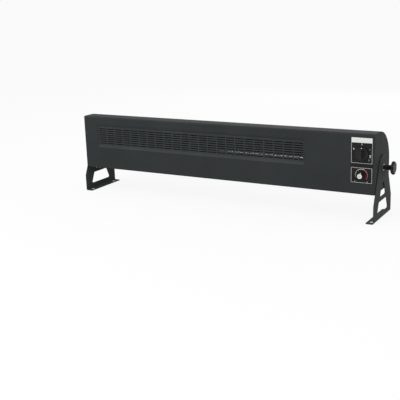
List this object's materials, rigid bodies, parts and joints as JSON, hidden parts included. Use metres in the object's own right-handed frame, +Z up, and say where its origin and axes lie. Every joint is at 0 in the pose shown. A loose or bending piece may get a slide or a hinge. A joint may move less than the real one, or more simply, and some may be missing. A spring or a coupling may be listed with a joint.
{
  "type": "tilting fan heater",
  "caption": "Long low electric fan heater with a rolled steel housing, a louvred outlet and a control panel, clamped between two feet so that it tilts.",
  "frame": {"origin": "on the floor plane, in the middle of the four fixing holes of the two feet, straight below the tilt axis", "axes": "+X along the housing to the control end, +Y backwards from the outlet, +Z up"},
  "size_m": [1.2432, 0.2055, 0.295],
  "materials": {
    "casing_paint": "fine-textured anthracite powder coat",
    "bracket_paint": "fine-textured anthracite powder coat",
    "galvanised_steel": "galvanised sheet",
    "bright_steel": "zinc plated",
    "motor_steel": "stacked steel plates",
    "black_plastic": "moulded black",
    "white_plastic": "moulded white",
    "grey_plastic": "moulded pale grey",
    "dark_plastic": "moulded dark grey",
    "copper": "drawn copper",
    "brass": "turned brass",
    "rubber": "black rubber",
    "fibre": "pressed fibre"
  },
  "bodies": {
    "stand": {"left_bracket": "bracket_paint", "right_bracket": "bracket_paint"},
    "housing": {"outer_casing": "casing_paint", "front_grille": "casing_paint", "bottom_cover": "casing_paint", "left_end_cap": "casing_paint", "right_end_cap": "casing_paint", "control_bulkhead": "galvanised_steel", "left_element_bracket": "galvanised_steel", "element_support": "galvanised_steel", "upper_air_guide": "galvanised_steel", "lower_air_guide": "galvanised_steel", "left_blower_casing": "galvanised_steel", "right_blower_casing": "galvanised_steel", "left_fan_motor": "motor_steel", "right_fan_motor": "motor_steel", "left_wheel_bush": "rubber", "right_wheel_bush": "rubber", "upper_heating_tube": "bright_steel", "middle_heating_tube": "bright_steel", "lower_heating_tube": "bright_steel", "thermal_cutouts": "white_plastic", "control_plate": "black_plastic", "cam_switch": "dark_plastic", "thermostat": "grey_plastic", "thermostat_bulb": "copper", "bulb_clip": "black_plastic", "terminal_block": "white_plastic", "earth_stud": "brass", "cable_gland": "black_plastic", "gland_locknut": "black_plastic", "left_pivot_nut": "bright_steel", "right_pivot_nut": "bright_steel", "left_friction_disc": "fibre", "right_friction_disc": "fibre", "bottom_screws": "bright_steel"},
    "left_wheel": {"left_blower_wheel": "black_plastic", "left_rotor": "bright_steel"},
    "right_wheel": {"right_blower_wheel": "black_plastic", "right_rotor": "bright_steel"},
    "left_clamp_washer": {"left_washer": "bright_steel"},
    "left_clamp_knob": {"left_tilt_knob": "black_plastic", "left_knob_stud": "bright_steel"},
    "right_clamp_washer": {"right_washer": "bright_steel"},
    "right_clamp_knob": {"right_tilt_knob": "black_plastic", "right_knob_stud": "bright_steel"},
    "switch": {"switch_knob": "black_plastic", "switch_spindle": "bright_steel"},
    "thermostat_control": {"thermostat_knob": "black_plastic", "thermostat_spindle": "bright_steel"}
  },
  "joints": [
    {"name": "housing_tilt", "type": "hinge", "parent": "stand", "child": "housing", "pos_m": [0, 0, 0.172], "axis": [-1, 0, 0], "range_deg": [-90, 90]},
    {"name": "left_wheel_spin", "type": "hinge", "parent": "housing", "child": "left_wheel", "pos_m": [-0.34, 0.018, 0.216], "axis": [1, 0, 0], "continuous": true},
    {"name": "right_wheel_spin", "type": "hinge", "parent": "housing", "child": "right_wheel", "pos_m": [0.16, 0.018, 0.216], "axis": [1, 0, 0], "continuous": true},
    {"name": "switch_turn", "type": "hinge", "parent": "housing", "child": "switch", "pos_m": [0.5365, -0.083, 0.229], "axis": [0, 1, 0], "range_deg": [-60, 120]},
    {"name": "thermostat_turn", "type": "hinge", "parent": "housing", "child": "thermostat_control", "pos_m": [0.5365, -0.083, 0.159], "axis": [0, 1, 0], "range_deg": [-155, 115]},
    {"name": "left_clamp_travel", "type": "slide", "parent": "housing", "child": "left_clamp_washer", "axis": [-1, 0, 0], "range_m": [0, 0.00375]},
    {"name": "left_knob_turn", "type": "hinge", "parent": "left_clamp_washer", "child": "left_clamp_knob", "pos_m": [-0.6, 0, 0.172], "axis": [-1, 0, 0], "range_deg": [0, 1080]},
    {"name": "right_clamp_travel", "type": "slide", "parent": "housing", "child": "right_clamp_washer", "axis": [1, 0, 0], "range_m": [0, 0.00375]},
    {"name": "right_knob_turn", "type": "hinge", "parent": "right_clamp_washer", "child": "right_clamp_knob", "pos_m": [0.6, 0, 0.172], "axis": [1, 0, 0], "range_deg": [0, 1080]}
  ],
  "couplings": [
    {"joint": "left_knob_turn", "follows": "left_clamp_travel", "rad_per_m": 5026.5},
    {"joint": "right_knob_turn", "follows": "right_clamp_travel", "rad_per_m": 5026.5}
  ]
}
